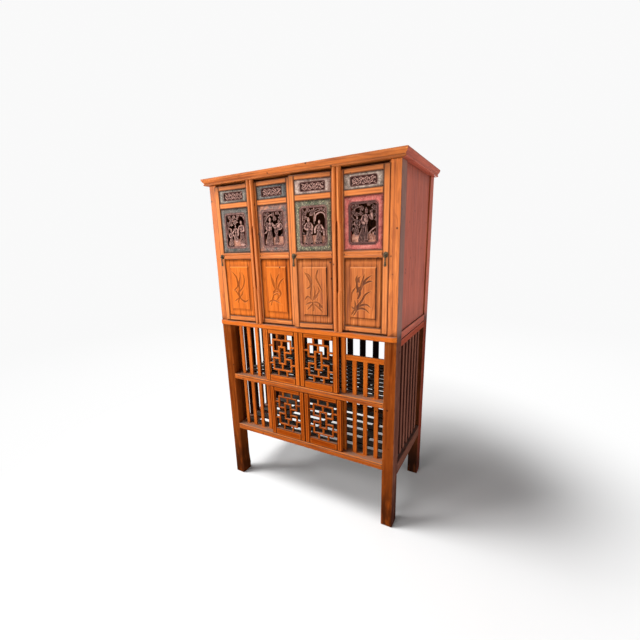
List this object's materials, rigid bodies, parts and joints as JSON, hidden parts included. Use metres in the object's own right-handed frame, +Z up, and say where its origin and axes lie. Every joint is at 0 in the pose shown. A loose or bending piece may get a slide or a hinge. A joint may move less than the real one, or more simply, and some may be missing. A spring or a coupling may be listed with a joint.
{
  "type": "food cabinet",
  "caption": "Tall timber food cabinet: closed upper case with carved pivot doors over open slatted tiers with sliding lattice panels.",
  "frame": {"origin": "on the floor, under the centre of the cabinet's outline", "axes": "+Z up, -Y towards the front with the doors, +X to the right seen from the front"},
  "size_m": [1.15, 0.636, 1.85],
  "materials": {
    "front_wood": "orange-brown oiled softwood, satin, worn edges",
    "dark_wood": "dark red-brown stained softwood",
    "red_side": "thin red paint worn over boards",
    "carved_panel": "carved wood with old dark lacquer and faded painted borders",
    "shelf_wood": "grey dusty unfinished boards",
    "old_brass": "dark patinated brass"
  },
  "bodies": {
    "carcass": {"post_front_left": "front_wood", "post_front_right": "front_wood", "post_back_left": "front_wood", "post_back_right": "front_wood", "cornice_front": "front_wood", "cornice_left": "front_wood", "cornice_right": "front_wood", "cornice_back": "front_wood", "top_panel": "front_wood", "waist_moulding": "front_wood", "waist_rail_front": "front_wood", "waist_rail_back": "dark_wood", "waist_rail_left": "red_side", "waist_rail_right": "red_side", "mid_rail_front": "front_wood", "mid_rail_back": "dark_wood", "bottom_rail_front": "front_wood", "bottom_rail_back": "dark_wood", "bottom_rail_left": "dark_wood", "bottom_rail_right": "dark_wood", "side_panel_left": "red_side", "side_panel_right": "red_side", "case_back": "dark_wood", "case_floor": "shelf_wood", "inner_shelf": "shelf_wood", "shelf_middle": "shelf_wood", "shelf_bottom": "shelf_wood", "grille_upper_left": "front_wood", "grille_upper_right": "front_wood", "grille_lower_left": "front_wood", "grille_lower_right": "front_wood", "grille_left": "dark_wood", "grille_right": "dark_wood", "grille_back": "dark_wood"},
    "door_1": {"door_1_frame": "front_wood", "door_1_lower_panel": "front_wood", "door_1_middle_panel": "carved_panel", "door_1_small_panel": "carved_panel", "pull_1_plate": "old_brass"},
    "pull_1": {"pull_1_drop": "old_brass"},
    "door_2": {"door_2_frame": "front_wood", "door_2_lower_panel": "front_wood", "door_2_middle_panel": "carved_panel", "door_2_small_panel": "carved_panel"},
    "door_3": {"door_3_frame": "front_wood", "door_3_lower_panel": "front_wood", "door_3_middle_panel": "carved_panel", "door_3_small_panel": "carved_panel", "pull_3_plate": "old_brass"},
    "pull_3": {"pull_3_drop": "old_brass"},
    "door_4": {"door_4_frame": "front_wood", "door_4_lower_panel": "front_wood", "door_4_middle_panel": "carved_panel", "door_4_small_panel": "carved_panel", "pull_4_plate": "old_brass"},
    "pull_4": {"pull_4_drop": "old_brass"},
    "lattice_upper_left": {"lattice_upper_left": "front_wood"},
    "lattice_upper_right": {"lattice_upper_right": "front_wood"},
    "lattice_lower_left": {"lattice_lower_left": "front_wood"},
    "lattice_lower_right": {"lattice_lower_right": "front_wood"}
  },
  "joints": [
    {"name": "door_1_hinge", "type": "hinge", "parent": "carcass", "child": "door_1", "pos_m": [-0.26025, -0.28596, 1.0655], "axis": [0, 0, 1], "range_deg": [-3, 77]},
    {"name": "pull_1_swing", "type": "hinge", "parent": "door_1", "child": "pull_1", "pos_m": [-0.48169, -0.29767, 1.43], "axis": [-0.9986, -0.0523, 0], "range_deg": [0, 60]},
    {"name": "door_2_hinge", "type": "hinge", "parent": "carcass", "child": "door_2", "pos_m": [-0.23725, -0.28596, 1.0655], "axis": [0, 0, -1], "range_deg": [0, 80]},
    {"name": "door_3_hinge", "type": "hinge", "parent": "carcass", "child": "door_3", "pos_m": [0.23725, -0.28596, 1.0655], "axis": [0, 0, 1], "range_deg": [-7, 73]},
    {"name": "pull_3_swing", "type": "hinge", "parent": "door_3", "child": "pull_3", "pos_m": [0.01716, -0.31309, 1.43], "axis": [-0.9925, -0.1219, 0], "range_deg": [0, 60]},
    {"name": "door_4_hinge", "type": "hinge", "parent": "carcass", "child": "door_4", "pos_m": [0.26025, -0.28596, 1.0655], "axis": [0, 0, -1], "range_deg": [0, 80]},
    {"name": "pull_4_swing", "type": "hinge", "parent": "door_4", "child": "pull_4", "pos_m": [0.482, -0.28606, 1.43], "axis": [-1, 0, 0], "range_deg": [0, 60]},
    {"name": "lattice_upper_left_slide", "type": "slide", "parent": "carcass", "child": "lattice_upper_left", "axis": [1, 0, 0], "range_m": [-0.245, 0]},
    {"name": "lattice_upper_right_slide", "type": "slide", "parent": "carcass", "child": "lattice_upper_right", "axis": [1, 0, 0], "range_m": [0, 0.245]},
    {"name": "lattice_lower_left_slide", "type": "slide", "parent": "carcass", "child": "lattice_lower_left", "axis": [1, 0, 0], "range_m": [-0.265, 0]},
    {"name": "lattice_lower_right_slide", "type": "slide", "parent": "carcass", "child": "lattice_lower_right", "axis": [1, 0, 0], "range_m": [0, 0.225]}
  ]
}
